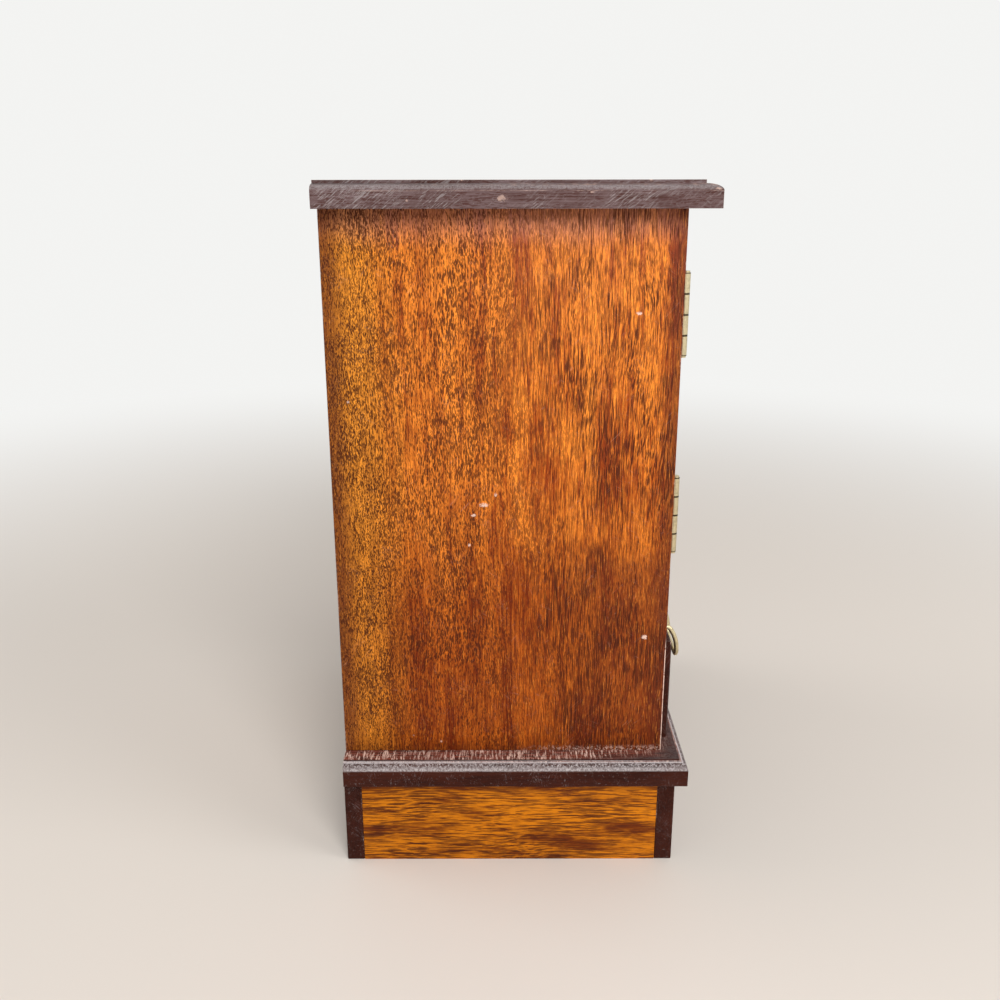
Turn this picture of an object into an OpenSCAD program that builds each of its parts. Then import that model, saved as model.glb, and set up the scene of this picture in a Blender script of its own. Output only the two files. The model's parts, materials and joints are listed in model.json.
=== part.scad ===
// Desktop cabinet with two inset doors over one drawer, in millimetres.
// The front faces -Y, +Z is up, and the origin is the bottom centre of the whole cabinet.

/* [Body] */
// Width over the two sides
body_w = 150; // [135:1:180]
// Depth of the two sides
body_d = 109; // [95:1:140]
// Height of the two sides
side_h = 180.4; // [165:0.1:220]
// Thickness of the sides
side_t = 6; // [5:0.5:8]
// Thickness of the back panel
back_t = 3; // [2:0.5:4]
// How far the back panel laps over each side
back_lap = 3; // [2:0.5:4]
// Depth of the housings in the sides
housing_d = 2; // [1:0.5:3]
// Thickness of the shelf
shelf_t = 5; // [3:0.5:8]
// Height of the shelf's underside above the rail under the doors
shelf_rise = 60; // [40:1:75]
// Thickness of the dust board over the drawer
dust_t = 4; // [3:0.5:6]

/* [Top board] */
// Thickness of the top board
top_t = 7.9; // [7:0.1:11]
// How far the top stands out at the sides and front
top_out = 8.2; // [6:0.1:14]
// How far top and plinth stand out at the back
back_out = 0.45; // [0:0.05:2]
// Height of the small step along the top's edge
top_step = 1; // [0.4:0.1:1.5]
// Width of the top's round edge
top_round_w = 4.3; // [2:0.1:6]
// Height of the top's round edge
top_round_h = 2; // [1:0.1:4]

/* [Base board] */
// Thickness of the base board
base_t = 8.9; // [8:0.1:12]
// How far the base board stands out at the sides and front
base_out = 8.3; // [7:0.1:14]
// Height of the small step along the base's edge
base_step = 0.5; // [0.3:0.1:1.5]
// Width of the base's round edge
base_round_w = 2.7; // [1:0.1:5]
// Height of the base's round edge
base_round_h = 2.7; // [1:0.1:4]

/* [Plinth] */
// Height of the plinth
plinth_h = 31.8; // [24:0.1:45]
// Thickness of the plinth boards
plinth_t = 6; // [4:0.5:9]
// How far the plinth stands out past the sides and front
plinth_out = 4.7; // [1:0.1:7]
// Side of the square glue blocks in the corners
block_w = 12; // [8:1:18]
// Height of the glue blocks
block_h = 20; // [12:1:24]

/* [Doors] */
// Thickness of the doors
door_t = 8; // [6.5:0.5:9]
// Gap around the doors
door_gap = 0.8; // [0.6:0.1:1.2]
// Width of the door stiles
stile_w = 16; // [14:0.5:20]
// Height of the door rails
door_rail_h = 16; // [12:0.5:24]
// Thickness of the panel's tongue
tongue_t = 2.4; // [2:0.1:3]
// Depth of the grooves in the door frames
groove_d = 4; // [3:0.5:5]
// Width of the bevel around the raised panel
panel_bevel = 8; // [4:0.5:12]
// How far the raised field stands in front of the tongue
panel_raise = 1.6; // [0.5:0.1:1.8]
// Height of the rail between doors and drawer
rail_h = 13.1; // [10:0.1:18]
// Depth of the rail between doors and drawer
rail_d = 12; // [10:0.5:16]
// Height and depth of the door stop under the top
stop_s = 8; // [8:0.5:11]

/* [Drawer] */
// Height of the drawer opening
drawer_open_h = 39.1; // [36:0.1:50]
// Thickness of the drawer front
front_t = 9.4; // [8.5:0.1:12]
// How far the drawer front stands proud of the sides
front_proud = 3.4; // [2:0.1:4]
// Width of the round edge of the drawer front
front_round_w = 3; // [1.5:0.1:3.5]
// Depth of the round edge of the drawer front
front_round_d = 1; // [0.5:0.1:1.8]
// Thickness of the drawer's sides and back
box_t = 5; // [4:0.5:6]
// Height of the drawer's sides
box_h = 33; // [28:0.5:35]
// Thickness of the drawer's bottom
bottom_t = 3; // [2:0.5:4]
// Length of the drawer stops
drawer_stop_l = 5; // [3:0.5:12]

/* [Pulls] */
// Distance between the arms of a pull
pull_w = 20; // [16:0.5:26]
// Distance of the pulls from the outer faces of the sides
pull_inset = 47.5; // [40:0.5:52]
// Distance of the pivots below the top of the drawer front
pull_top = 8.8; // [8:0.1:12]
// Radius of the wire of a pull
wire_r = 0.9; // [0.7:0.05:1]
// Radius of the long curve in the arms of a pull
arm_sweep_r = 14.4; // [12:0.2:18]
// Radius of the round ends of a pull's plate
plate_r = 4.5; // [3.5:0.1:4.5]
// Thickness of a pull's plate
plate_t = 0.6; // [0.5:0.05:0.8]

/* [Hinges] */
// Length of a hinge
hinge_l = 25.4; // [20:0.1:32]
// Distance of the hinges from the ends of a door
hinge_inset = 18.2; // [12:0.1:26]
// Radius of the hinge knuckles
knuckle_r = 1.3; // [1.2:0.05:1.6]
// Radius of the hinge pins
hinge_pin_r = 0.7; // [0.5:0.05:0.8]
// Thickness of the hinge leaves
leaf_t = 0.6; // [0.4:0.05:0.7]
// Reach of a leaf from the hinge axis
leaf_w = 7.3; // [6.5:0.1:7.4]

/* [Knobs and catches] */
// Radius of a door knob's head
knob_r = 3.8; // [3:0.1:5]
// How far a knob stands out from the door
knob_reach = 10; // [8:0.5:12]
// Radius of the catch magnets
magnet_r = 2; // [1.5:0.1:2.5]
// Length of the catch magnets
magnet_l = 5; // [3:0.5:7]

/* [Hidden] */
$fn = 48;

// Clearances
wood_fit = 0.1;
bore_fit = 0.05;
pilot_fit = 0.03;
door_rest = 0.3;
drawer_rest = 0.3;
drawer_side_gap = 0.6;
drawer_top_gap = 0.8;
drawer_foot_gap = 1.3;
knuckle_gap = 0.1;
pivot_gap = 0.5;
post_gap = 0.4;
strike_drop = 1;
cut = 1;

// Fasteners
leaf_screw_r = 0.8;
leaf_screw_head_r = 1.4;
leaf_screw_l = 4.6;
base_screw_r = 1.2;
base_screw_head_r = 2.4;
base_screw_l = 22;
dowel_r = 1.5;
dowel_l = 12;
back_pin_r = 0.4;
back_pin_head_r = 0.8;
back_pin_head_t = 0.3;
back_pin_l = 7;
fixing_r = 1;
fixing_head_r = 2.1;
fixing_head_t = 1.3;
fixing_hold = 2.6;
slot_w = 0.5;

// Places along Z
base_z = plinth_h + base_t;
top_z = base_z + side_h;
rail_z = base_z + drawer_open_h;
rail_top_z = rail_z + rail_h;
shelf_z = rail_top_z + shelf_rise;
door_z = rail_top_z + door_gap;
door_h = top_z - door_gap - door_z;
door_mid_z = door_z + door_h / 2;
hinge_z = [door_z + hinge_inset, door_z + door_h - hinge_inset - hinge_l];
front_z = base_z + drawer_foot_gap;
front_h = drawer_open_h - drawer_foot_gap - drawer_top_gap;
pull_z = front_z + front_h - pull_top;
box_z = base_z + drawer_rest;
bottom_z = box_z + box_t;

// Pulls: a bent wire that swings on two posts, drawn outwards from the drawer's face
post_r = 1.8;
post_wall = 0.95;
post_tip = 0.5;
plate_margin = 0.7;
nut_r = 2.2;
nut_t = 1.6;
stud_end = 0.6;
elbow_r = wire_r + 0.1;
first_bend_r = 2;
first_bend = 55;
corner_r = 2.7;
arm_x = pull_w / 2;
elbow_x = arm_x - elbow_r;
post_x = elbow_x - post_gap - post_r;
pivot_out = plate_t + pivot_gap + wire_r;
neck_out = pivot_out + elbow_r;
post_out = pivot_out + wire_r + bore_fit + post_wall;
sweep = 90 - first_bend;
sweep_out = neck_out + (first_bend_r - arm_sweep_r) * cos(sweep);
sweep_z = (first_bend_r - arm_sweep_r) * sin(sweep) - first_bend_r;
grip_out = sweep_out + arm_sweep_r;

// Places along Y
front_reach = max(top_out, front_proud + grip_out + wire_r, knob_reach);
front_y = (front_reach - back_out - body_d) / 2;
back_y = front_y + body_d;
inner_back_y = back_y - back_t;
door_back_y = front_y + door_t;
stop_y = door_back_y + door_rest;
shelf_y = door_back_y + 2;
face_y = front_y - front_proud;
front_back_y = face_y + front_t;
box_end_y = inner_back_y - drawer_stop_l - drawer_rest;

// Places along X
half_w = body_w / 2;
inner_x = half_w - side_t;
door_x0 = door_gap / 2;
door_x1 = inner_x - door_gap;
front_x = inner_x - drawer_side_gap;
pull_x = half_w - pull_inset;
knob_x = door_x0 + stile_w / 2;

// Hinges: the axis lies in the middle of the door gap, just in front of the sides
axis_x = inner_x - door_gap / 2;
axis_y = front_y - knuckle_r - bore_fit;
leaf_face = knuckle_r - 0.05;
leaf_start = knuckle_r + 0.15;
mortise_d = leaf_face - door_gap / 2;
leaf_screw_y = (leaf_start + leaf_w) / 2;
knuckles = 4;
knuckle_l = hinge_l / knuckles;
fixed_rows = [1, 3];
moving_rows = [0, 2];

// Door frame: the groove is centred in the thickness, and the panel's tongue sits in it
groove_y = front_y + (door_t - tongue_t) / 2;
tenon_l = groove_d - wood_fit;
panel_x0 = door_x0 + stile_w - groove_d + wood_fit;
panel_x1 = door_x1 - stile_w + groove_d - wood_fit;
panel_z0 = door_z + door_rail_h - groove_d + wood_fit;
panel_z1 = door_z + door_h - door_rail_h + groove_d - wood_fit;
strike_r = magnet_r + 1;
strike_t = 0.8;
strike_z = top_z - stop_s / 2 - strike_drop;

// Rows of fasteners in the body
end_margin = 20;
row_y = [front_y + end_margin, (front_y + back_y) / 2, back_y - end_margin];
side_mid_x = half_w - side_t / 2;
back_pin_z = [for (i = [0:3]) base_z + 14 + i * (side_h - 28) / 3];
back_pin_x = [-inner_x / 2, 0, inner_x / 2];

wood_dark = "#3a211b";
wood_red = "#93431b";
wood_amber = "#b5661f";
wood_plain = "#c79a63";
brass = "#b79a55";
steel = "#8d9196";

// A box from its lowest corner to its highest corner
module span(low, high) {
    translate(low) cube(high - low);
}

// Copies the children to the left of the middle plane too
module both_sides() {
    children();
    mirror([1, 0, 0]) children();
}

// A side of the middle plane: -1 is left and 1 is right
module on_side(side) {
    if (side < 0) mirror([1, 0, 0]) children();
    else children();
}

// A rod along Y from one place to another
module rod_y(x, y0, y1, z, r) {
    translate([x, y0, z]) rotate([-90, 0, 0]) cylinder(r = r, h = y1 - y0);
}

// A countersunk wood screw that points up, its slotted head at z = 0
module wood_screw(r, head_r, length) {
    head_t = head_r - r;
    difference() {
        union() {
            cylinder(r1 = head_r, r2 = r, h = head_t);
            cylinder(r = r, h = length - r);
            translate([0, 0, length - r]) cylinder(r1 = r, r2 = r / 4, h = r);
        }
        span([-head_r - cut, -slot_w / 2, -cut], [head_r + cut, slot_w / 2, head_t / 2]);
    }
}

// The hole that such a screw needs, with its countersink
module screw_hole(r, head_r, length) {
    head_t = head_r - r;
    translate([0, 0, -cut]) cylinder(r = head_r + pilot_fit, h = cut);
    cylinder(r1 = head_r + pilot_fit, r2 = r + pilot_fit, h = head_t);
    translate([0, 0, -cut / 2]) cylinder(r = r + pilot_fit, h = length + cut / 2 + pilot_fit);
}

// A pan head screw from y0 towards -Y, its head behind y0
module fixing_screw(x, y0, y1, z) {
    difference() {
        union() {
            rod_y(x, y1, y0 + fixing_head_t / 2, z, fixing_r);
            rod_y(x, y0, y0 + fixing_head_t, z, fixing_head_r);
        }
        span([x - fixing_head_r - cut, y0 + fixing_head_t / 2, z - slot_w / 2],
             [x + fixing_head_r + cut, y0 + fixing_head_t + cut, z + slot_w / 2]);
    }
}

// Edge outline: square below, a round edge of w by h, then a small step up to the flat
// It covers x from 0 inwards to length, and z from 0 up to t
function edge_points(t, w, h, step, steps = 10) = concat(
    [[0, 0], [0, t - step - h]],
    [for (i = [1:steps]) let (a = 90 * i / steps)
        [w * (1 - cos(a)), t - step - h + h * sin(a)]],
    [[w, t]]
);

// A board with that edge on its left, right and front, and a square back
module moulded_board(half, y0, y1, z, t, w, h, step) {
    edge = edge_points(t, w, h, step);
    turned = [for (i = [len(edge) - 1:-1:0]) [-edge[i][0], edge[i][1]]];
    intersection() {
        translate([0, y1, z]) rotate([90, 0, 0]) linear_extrude(height = y1 - y0)
            polygon(concat([for (p = edge) [p[0] - half, p[1]]],
                           [for (p = turned) [p[0] + half, p[1]]]));
        translate([-half, 0, z]) rotate([90, 0, 90]) linear_extrude(height = 2 * half)
            polygon(concat([for (p = edge) [y0 + p[0], p[1]]], [[y1, t], [y1, 0]]));
    }
}

// A block from y to back whose front carries an edge on all four sides
// The edge runs from the block's sides inwards, as pairs of inset and depth behind y
module edged_block(x0, x1, z0, z1, y, back, edge) {
    last = len(edge) - 1;
    intersection() {
        translate([0, 0, z0]) linear_extrude(height = z1 - z0) polygon(concat(
            [[x0, back]],
            [for (p = edge) [x0 + p[0], y + p[1]]],
            [for (i = [last:-1:0]) [x1 - edge[i][0], y + edge[i][1]]],
            [[x1, back]]
        ));
        translate([x0, 0, 0]) rotate([90, 0, 90]) linear_extrude(height = x1 - x0)
            polygon(concat(
                [[back, z0]],
                [for (p = edge) [y + p[1], z0 + p[0]]],
                [for (i = [last:-1:0]) [y + edge[i][1], z1 - edge[i][0]]],
                [[back, z1]]
            ));
    }
}

module top_dowel_places() {
    both_sides() for (y = row_y) translate([side_mid_x, y, top_z - dowel_l / 2]) children();
}

module base_screw_places() {
    both_sides() for (y = row_y) translate([side_mid_x, y, plinth_h]) children();
}

module top_board() {
    color(wood_dark) difference() {
        moulded_board(half_w + top_out, front_y - top_out, back_y + back_out, top_z,
                      top_t, top_round_w, top_round_h, top_step);
        top_dowel_places() cylinder(r = dowel_r + pilot_fit, h = dowel_l + pilot_fit);
    }
}

module base_board() {
    color(wood_dark) difference() {
        moulded_board(half_w + base_out, front_y - base_out, back_y, plinth_h,
                      base_t, base_round_w, base_round_h, base_step);
        base_screw_places() screw_hole(base_screw_r, base_screw_head_r, base_screw_l);
    }
}

// The stub tenons of the drawer rail, and the mortises that take them
module rail_tenon(fit) {
    span([inner_x - cut, front_y + rail_d / 4 - fit, rail_z + rail_h / 6 - fit],
         [inner_x + housing_d + fit, front_y + rail_d * 3 / 4 + fit,
          rail_z + rail_h * 5 / 6 + fit]);
}

// A hinge leaf's bed in the wood, measured from the hinge axis to the right
module leaf_bed() {
    for (z = hinge_z)
        span([axis_x + leaf_face - mortise_d - cut, front_y - cut, z],
             [axis_x + leaf_face, axis_y + leaf_w + wood_fit, z + hinge_l]);
}

// The places of the leaf screws, pointing into the side
module side_leaf_screw_places() {
    for (z = hinge_z, k = [0.25, 0.75])
        translate([axis_x + leaf_face - leaf_t, axis_y + leaf_screw_y, z + k * hinge_l])
            rotate([0, 90, 0]) children();
}

// The places of the leaf screws, pointing into the door
module door_leaf_screw_places() {
    for (z = hinge_z, k = [0.25, 0.75])
        translate([axis_x - leaf_face + leaf_t, axis_y + leaf_screw_y, z + k * hinge_l])
            rotate([0, -90, 0]) children();
}

module side_board(side) {
    color(wood_red) on_side(side) difference() {
        span([inner_x, front_y, base_z], [half_w, back_y, top_z]);
        span([inner_x - cut, inner_back_y, base_z - cut],
             [inner_x + back_lap, back_y + cut, top_z + cut]);
        span([inner_x - cut, shelf_y - wood_fit, shelf_z],
             [inner_x + housing_d, back_y, shelf_z + shelf_t]);
        span([inner_x - cut, front_y + rail_d, rail_top_z - dust_t],
             [inner_x + housing_d, back_y, rail_top_z]);
        rail_tenon(wood_fit / 2);
        leaf_bed();
        side_leaf_screw_places()
            cylinder(r = leaf_screw_r + pilot_fit, h = leaf_screw_l + pilot_fit);
        for (y = row_y) translate([side_mid_x, y, 0]) {
            translate([0, 0, top_z - dowel_l / 2 - pilot_fit])
                cylinder(r = dowel_r + pilot_fit, h = dowel_l);
            translate([0, 0, plinth_h])
                cylinder(r = base_screw_r + pilot_fit, h = base_screw_l + pilot_fit);
        }
        for (z = back_pin_z)
            rod_y(inner_x + back_lap / 2, back_y - back_pin_l - pilot_fit, back_y, z,
                  back_pin_r + pilot_fit);
    }
}

module back_pin_places() {
    both_sides() for (z = back_pin_z) translate([inner_x + back_lap / 2, back_y, z])
        children();
    for (x = back_pin_x, z = [shelf_z + shelf_t / 2, rail_top_z - dust_t / 2])
        translate([x, back_y, z]) children();
}

module back_pin(fit) {
    rod_y(0, -back_pin_l - fit, 0, 0, back_pin_r + fit);
}

module back_panel() {
    reach = inner_x + back_lap - wood_fit;
    color(wood_plain) difference() {
        span([-reach, inner_back_y, base_z], [reach, back_y, top_z]);
        back_pin_places() back_pin(pilot_fit);
    }
}

module back_pins() {
    color(steel) back_pin_places() union() {
        back_pin(0);
        rod_y(0, 0, back_pin_head_t, 0, back_pin_head_r);
    }
}

module drawer_rail() {
    color(wood_dark) {
        span([-inner_x, front_y, rail_z], [inner_x, front_y + rail_d, rail_top_z]);
        both_sides() rail_tenon(0);
    }
}

module dust_board() {
    reach = inner_x + housing_d - wood_fit;
    color(wood_plain) difference() {
        span([-reach, front_y + rail_d, rail_top_z - dust_t],
             [reach, inner_back_y, rail_top_z]);
        back_pin_places() back_pin(pilot_fit);
    }
}

module shelf() {
    reach = inner_x + housing_d - wood_fit;
    color(wood_plain) difference() {
        span([-reach, shelf_y, shelf_z], [reach, inner_back_y, shelf_z + shelf_t]);
        back_pin_places() back_pin(pilot_fit);
    }
}

module catch_places() {
    both_sides() translate([knob_x, stop_y, strike_z]) rotate([-90, 0, 0]) children();
}

module door_stop() {
    color(wood_plain) difference() {
        span([-inner_x, stop_y, top_z - stop_s], [inner_x, stop_y + stop_s, top_z]);
        catch_places() translate([0, 0, -cut])
            cylinder(r = magnet_r + bore_fit, h = magnet_l + bore_fit + cut);
    }
}

module catch_magnets() {
    color(steel) catch_places() cylinder(r = magnet_r, h = magnet_l);
}

// Front and back plinth boards run the full width, and the side boards stand between them
module plinth_long(y) {
    color(wood_dark)
        span([-half_w - plinth_out, y, 0], [half_w + plinth_out, y + plinth_t, plinth_h]);
}

module plinth_side(side) {
    color(wood_amber) on_side(side)
        span([half_w + plinth_out - plinth_t, front_y - plinth_out + plinth_t, 0],
             [half_w + plinth_out, back_y + back_out - plinth_t, plinth_h]);
}

module plinth_blocks() {
    x1 = half_w + plinth_out - plinth_t;
    y0 = front_y - plinth_out + plinth_t;
    y1 = back_y + back_out - plinth_t;
    color(wood_plain) both_sides() for (y = [y0, y1 - block_w])
        span([x1 - block_w, y, plinth_h - block_h], [x1, y + block_w, plinth_h]);
}

module drawer_stops() {
    color(wood_plain) both_sides()
        span([pull_x - box_t, inner_back_y - drawer_stop_l, base_z],
             [pull_x + box_t, inner_back_y, box_z + box_t + bottom_t]);
}

module top_dowels() {
    color(wood_plain) top_dowel_places() cylinder(r = dowel_r, h = dowel_l);
}

module base_screws() {
    color(steel) base_screw_places()
        wood_screw(base_screw_r, base_screw_head_r, base_screw_l);
}

// A leaf with the knuckles of the given rows, its axis along Z at the origin
module leaf(rows) {
    difference() {
        union() {
            span([leaf_face - leaf_t, leaf_start, 0], [leaf_face, leaf_w, hinge_l]);
            for (row = rows) translate([0, 0, row * knuckle_l + knuckle_gap / 2]) {
                cylinder(r = knuckle_r, h = knuckle_l - knuckle_gap);
                span([leaf_face - leaf_t, 0, 0],
                     [leaf_face, leaf_start + cut, knuckle_l - knuckle_gap]);
            }
        }
        translate([0, 0, -cut]) cylinder(r = hinge_pin_r + bore_fit, h = hinge_l + 2 * cut);
        for (k = [0.25, 0.75])
            translate([leaf_face - leaf_t, leaf_screw_y, k * hinge_l]) rotate([0, 90, 0])
                screw_hole(leaf_screw_r, leaf_screw_head_r, leaf_screw_l);
    }
}

module hinge_plate(side, z) {
    color(brass) on_side(side) translate([axis_x, axis_y, z]) leaf(fixed_rows);
}

module hinge_leaf(side, z) {
    color(brass) on_side(side) translate([axis_x, axis_y, z])
        mirror([1, 0, 0]) leaf(moving_rows);
}

module hinge_pins() {
    head_t = 0.5;
    color(brass) both_sides() for (z = hinge_z) translate([axis_x, axis_y, z]) union() {
        translate([0, 0, -head_t]) cylinder(r = hinge_pin_r, h = hinge_l + 2 * head_t);
        translate([0, 0, -head_t]) cylinder(r = knuckle_r - 0.2, h = head_t);
        translate([0, 0, hinge_l]) cylinder(r = knuckle_r - 0.2, h = head_t);
    }
}

module side_hinge_screws() {
    color(brass) both_sides() side_leaf_screw_places()
        wood_screw(leaf_screw_r, leaf_screw_head_r, leaf_screw_l);
}

module door_hinge_screws(side) {
    color(brass) on_side(side) door_leaf_screw_places()
        wood_screw(leaf_screw_r, leaf_screw_head_r, leaf_screw_l);
}

// The groove around the inside of a door frame
module door_groove() {
    span([door_x0 + stile_w - groove_d, groove_y, door_z + door_rail_h - groove_d],
         [door_x1 - stile_w + groove_d, groove_y + tongue_t,
          door_z + door_h - door_rail_h + groove_d]);
}

// Both door rails end in stub tenons that fill the stile grooves
module rail_grooves_in_stiles() {
    for (x = [door_x0 + stile_w - groove_d, door_x1 - stile_w - cut])
        span([x, groove_y, door_z - cut], [x + groove_d + cut, groove_y + tongue_t,
             door_z + door_h + cut]);
}

module hinge_stile(side) {
    color(wood_dark) on_side(side) difference() {
        span([door_x1 - stile_w, front_y, door_z],
             [door_x1, door_back_y, door_z + door_h]);
        rail_grooves_in_stiles();
        translate([2 * axis_x, 0, 0]) mirror([1, 0, 0]) leaf_bed();
        door_leaf_screw_places()
            cylinder(r = leaf_screw_r + pilot_fit, h = leaf_screw_l + pilot_fit);
    }
}

module meeting_stile(side) {
    color(wood_dark) on_side(side) difference() {
        span([door_x0, front_y, door_z],
             [door_x0 + stile_w, door_back_y, door_z + door_h]);
        rail_grooves_in_stiles();
        rod_y(knob_x, front_y - cut, door_back_y + cut, door_mid_z, fixing_r + bore_fit);
        rod_y(knob_x, door_back_y - strike_t, door_back_y + cut, strike_z,
              strike_r + bore_fit);
    }
}

module door_rail(side, z) {
    color(wood_dark) on_side(side) difference() {
        union() {
            span([door_x0 + stile_w, front_y, z],
                 [door_x1 - stile_w, door_back_y, z + door_rail_h]);
            span([door_x0 + stile_w - tenon_l, groove_y, z],
                 [door_x1 - stile_w + tenon_l, groove_y + tongue_t, z + door_rail_h]);
        }
        door_groove();
    }
}

// A tongue all round, and a bevelled field that stands clear of the frame by one margin
module door_panel(side) {
    margin = 1;
    sill = 0.3;
    in_x = stile_w + margin;
    in_z = door_rail_h + margin;
    color(wood_red) on_side(side) union() {
        span([panel_x0, groove_y, panel_z0], [panel_x1, groove_y + tongue_t, panel_z1]);
        edged_block(door_x0 + in_x, door_x1 - in_x, door_z + in_z, door_z + door_h - in_z,
                    groove_y - panel_raise, groove_y + tongue_t / 2,
                    [[0, panel_raise - sill], [panel_bevel, 0]]);
    }
}

// A turned knob along -Y: base ring, neck and domed head
module door_knob(side) {
    neck_r = fixing_r + 0.9;
    base_r = knob_r - 0.8;
    head_y = knob_reach - knob_r * 0.45;
    dome = knob_reach - head_y;
    color(brass) on_side(side) translate([knob_x, front_y, door_mid_z])
        rotate([90, 0, 0]) difference() {
            rotate_extrude() polygon(concat(
                [[0, 0], [base_r, 0], [base_r, 0.8], [neck_r, 1.8],
                 [neck_r, head_y - 3], [knob_r - 0.4, head_y - 0.9], [knob_r, head_y]],
                [for (i = [1:8]) let (a = 90 * i / 9)
                    [knob_r * cos(a), head_y + dome * sin(a)]],
                [[0, knob_reach]]
            ));
            translate([0, 0, -cut]) cylinder(r = fixing_r + bore_fit,
                                             h = fixing_hold + bore_fit + cut);
        }
}

module door_knob_screw(side) {
    color(steel) on_side(side)
        fixing_screw(knob_x, door_back_y, front_y - fixing_hold, door_mid_z);
}

// A steel disc let into the back of the door
module door_strike(side) {
    color(steel) on_side(side)
        rod_y(knob_x, door_back_y - strike_t, door_back_y, strike_z, strike_r);
}

// Children at both posts of both pulls, on the drawer's face
module post_places() {
    both_sides() translate([pull_x, face_y, pull_z]) both_sides()
        translate([post_x, 0, 0]) children();
}

// Round edge all round, rebated at its ends for the drawer sides, grooved for the bottom
module drawer_front() {
    steps = 8;
    edge = [for (i = [0:steps]) let (a = 90 * i / steps)
        [front_round_w * (1 - cos(a)), front_round_d * (1 - sin(a))]];
    color(wood_dark) difference() {
        edged_block(-front_x, front_x, front_z, front_z + front_h, face_y, front_back_y,
                    edge);
        both_sides() span([front_x - box_t, front_back_y - box_t, front_z - cut],
                          [front_x + cut, front_back_y + cut, box_z + box_h]);
        span([-front_x + box_t - cut, front_back_y - housing_d, bottom_z],
             [front_x - box_t + cut, front_back_y + cut, bottom_z + bottom_t]);
        post_places() rod_y(0, -cut, front_t + cut, 0, fixing_r + bore_fit);
    }
}

module drawer_side(side) {
    color(wood_plain) on_side(side) difference() {
        span([front_x - box_t, front_back_y - box_t, box_z],
             [front_x, box_end_y, box_z + box_h]);
        span([front_x - box_t - cut, front_back_y - box_t - cut, bottom_z],
             [front_x - box_t + housing_d, box_end_y + cut, bottom_z + bottom_t]);
        span([front_x - box_t - cut, box_end_y - box_t, bottom_z + bottom_t],
             [front_x - box_t + housing_d, box_end_y + cut, box_z + box_h + cut]);
    }
}

module drawer_back() {
    reach = front_x - box_t + housing_d - wood_fit;
    color(wood_plain) span([-reach, box_end_y - box_t, bottom_z + bottom_t],
                           [reach, box_end_y, box_z + box_h]);
}

module drawer_bottom() {
    reach = front_x - box_t + housing_d - wood_fit;
    color(wood_plain) span([-reach, front_back_y - housing_d + wood_fit, bottom_z],
                           [reach, box_end_y, bottom_z + bottom_t]);
}

module on_pull(side) {
    on_side(side) translate([pull_x, face_y, pull_z]) children();
}

module pull_plate(side) {
    end_x = post_x + plate_margin;
    color(brass) on_pull(side) difference() {
        rotate([90, 0, 0]) linear_extrude(height = plate_t) union() {
            translate([-end_x, -plate_r]) square([2 * end_x, 2 * plate_r]);
            translate([-end_x, 0]) circle(r = plate_r);
            translate([end_x, 0]) circle(r = plate_r);
        }
        both_sides() rod_y(post_x, -plate_t - cut, cut, 0, fixing_r + bore_fit);
    }
}

// Two posts with chamfered heads, cross bored for the wire, on studs through the front
module pull_posts(side) {
    stud_l = front_t + nut_t + stud_end;
    color(brass) on_pull(side) both_sides() translate([post_x, 0, 0]) difference() {
        union() {
            rod_y(0, post_tip - post_out, -plate_t, 0, post_r);
            translate([0, post_tip - post_out, 0]) rotate([90, 0, 0])
                cylinder(r1 = post_r, r2 = post_r - post_tip, h = post_tip);
            rod_y(0, -plate_t - cut / 2, stud_l, 0, fixing_r);
        }
        translate([-post_r - cut, -pivot_out, 0]) rotate([0, 90, 0])
            cylinder(r = wire_r + bore_fit, h = 2 * (post_r + cut));
    }
}

module pull_nuts() {
    color(steel) post_places() difference() {
        translate([0, front_t, 0]) rotate([-90, 0, 0]) cylinder(r = nut_r, h = nut_t, $fn = 6);
        rod_y(0, front_t - cut, front_t + nut_t + cut, 0, fixing_r + pilot_fit);
    }
}

// The half of the wire from its pin to the middle, as a place, a direction and one
// vector across it. The places come from the curves' radii and angles
grip_x = arm_x - corner_r;
pin_end = post_x - post_r - post_gap;
half_wire = concat(
    [[[pin_end, -pivot_out, 0], [1, 0, 0], [0, 0, 1]]],
    [for (i = [0:3]) let (a = 90 - 30 * i)
        [[elbow_x + elbow_r * cos(a), elbow_r * sin(a) - neck_out, 0],
         [sin(a), -cos(a), 0], [0, 0, 1]]],
    [for (i = [1:4]) let (a = 90 - first_bend * i / 4)
        [[arm_x, -neck_out - first_bend_r * cos(a), first_bend_r * (sin(a) - 1)],
         [0, -sin(a), -cos(a)], [0, -cos(a), sin(a)]]],
    [for (i = [1:5]) let (a = sweep * (1 - i / 5))
        [[arm_x, -sweep_out - arm_sweep_r * cos(a), sweep_z + arm_sweep_r * sin(a)],
         [0, -sin(a), -cos(a)], [0, -cos(a), sin(a)]]],
    [for (i = [1:6]) let (a = 15 * i)
        [[grip_x + corner_r * cos(a), -grip_out, sweep_z - corner_r * sin(a)],
         [-sin(a), 0, -cos(a)], [0, -1, 0]]]
);
other_half = [for (i = [len(half_wire) - 1:-1:0]) let (w = half_wire[i])
    [[-w[0][0], w[0][1], w[0][2]], [w[1][0], -w[1][1], -w[1][2]], w[2]]];
wire = concat(half_wire, other_half);
wire_sides = 16;

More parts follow.
